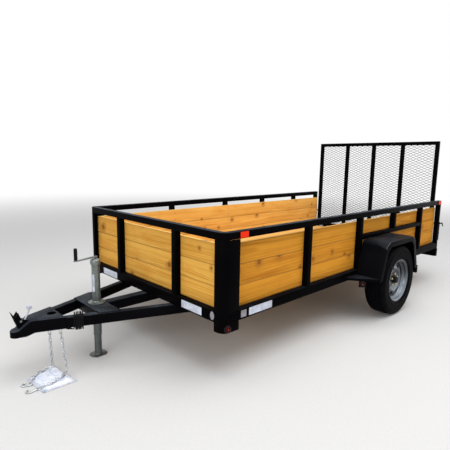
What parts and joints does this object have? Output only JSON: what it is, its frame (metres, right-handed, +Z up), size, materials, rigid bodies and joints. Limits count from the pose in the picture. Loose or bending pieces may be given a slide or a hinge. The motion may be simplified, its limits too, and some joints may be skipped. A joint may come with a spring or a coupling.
{
  "type": "utility trailer",
  "caption": "Open single-axle utility trailer with timber sides and deck, a mesh gate that folds down behind, steel wheels under fenders, a crank jack, an A-frame ball coupler and safety chains.",
  "frame": {"origin": "centre of the bounding box's base, on the ground", "axes": "+X forward to the coupler, +Y to the trailer's left, +Z up"},
  "size_m": [4.7998, 2.36, 1.75],
  "materials": {
    "black_paint": "satin",
    "pine": "matte",
    "tyre": "matte",
    "wheel_silver": "satin",
    "hub_dark": "satin",
    "zinc": "satin",
    "black_plastic": "matte",
    "red_lens": "gloss",
    "white_pouch": "matte",
    "amber_lens": "gloss"
  },
  "bodies": {
    "chassis": {"axle": "black_paint", "boards_front": "pine", "boards_left": "pine", "boards_right": "pine", "centre_pole": "black_paint", "chain_pouch": "white_pouch", "corner_plates": "black_paint", "coupler": "black_paint", "coupler_latch": "black_paint", "crank_grip": "black_plastic", "cross_members": "black_paint", "deck_planks": "pine", "fender_angles": "black_paint", "fender_supports": "black_paint", "fenders": "black_paint", "front_rail": "black_paint", "gate_latches": "black_paint", "hinge_ears": "black_paint", "jack_crank": "zinc", "jack_plate": "black_paint", "jack_tube": "zinc", "lamp_boxes": "black_paint", "leaf_springs": "black_paint", "marker_lamps": "amber_lens", "rear_rail": "black_paint", "safety_chains": "zinc", "side_rails": "black_paint", "side_reflectors": "red_lens", "spring_mounts": "black_paint", "tail_lamps": "red_lens", "tongue_rails": "black_paint", "top_rail_front": "black_paint", "top_rails": "black_paint", "uprights": "black_paint", "wiring_lead": "black_plastic"},
    "wheel_left": {"tyre_left": "tyre", "wheel_rim_left": "wheel_silver", "wheel_hub_left": "hub_dark"},
    "wheel_right": {"tyre_right": "tyre", "wheel_rim_right": "wheel_silver", "wheel_hub_right": "hub_dark"},
    "gate": {"gate_frame": "black_paint", "gate_hinges": "black_paint", "gate_mesh": "black_paint"},
    "jack_leg": {"jack_leg": "zinc"}
  },
  "joints": [
    {"name": "wheel_left_spin", "type": "hinge", "parent": "chassis", "child": "wheel_left", "pos_m": [-0.76059, 1.0665, 0.342], "axis": [0, 1, 0], "continuous": true},
    {"name": "wheel_right_spin", "type": "hinge", "parent": "chassis", "child": "wheel_right", "pos_m": [-0.76059, -1.0665, 0.342], "axis": [0, 1, 0], "continuous": true},
    {"name": "gate_fold", "type": "hinge", "parent": "chassis", "child": "gate", "pos_m": [-2.38359, 0, 0.468], "axis": [0, -1, 0], "range_deg": [0, 111]},
    {"name": "jack_slide", "type": "slide", "parent": "chassis", "child": "jack_leg", "axis": [0, 0, 1], "range_m": [0, 0.145]}
  ]
}
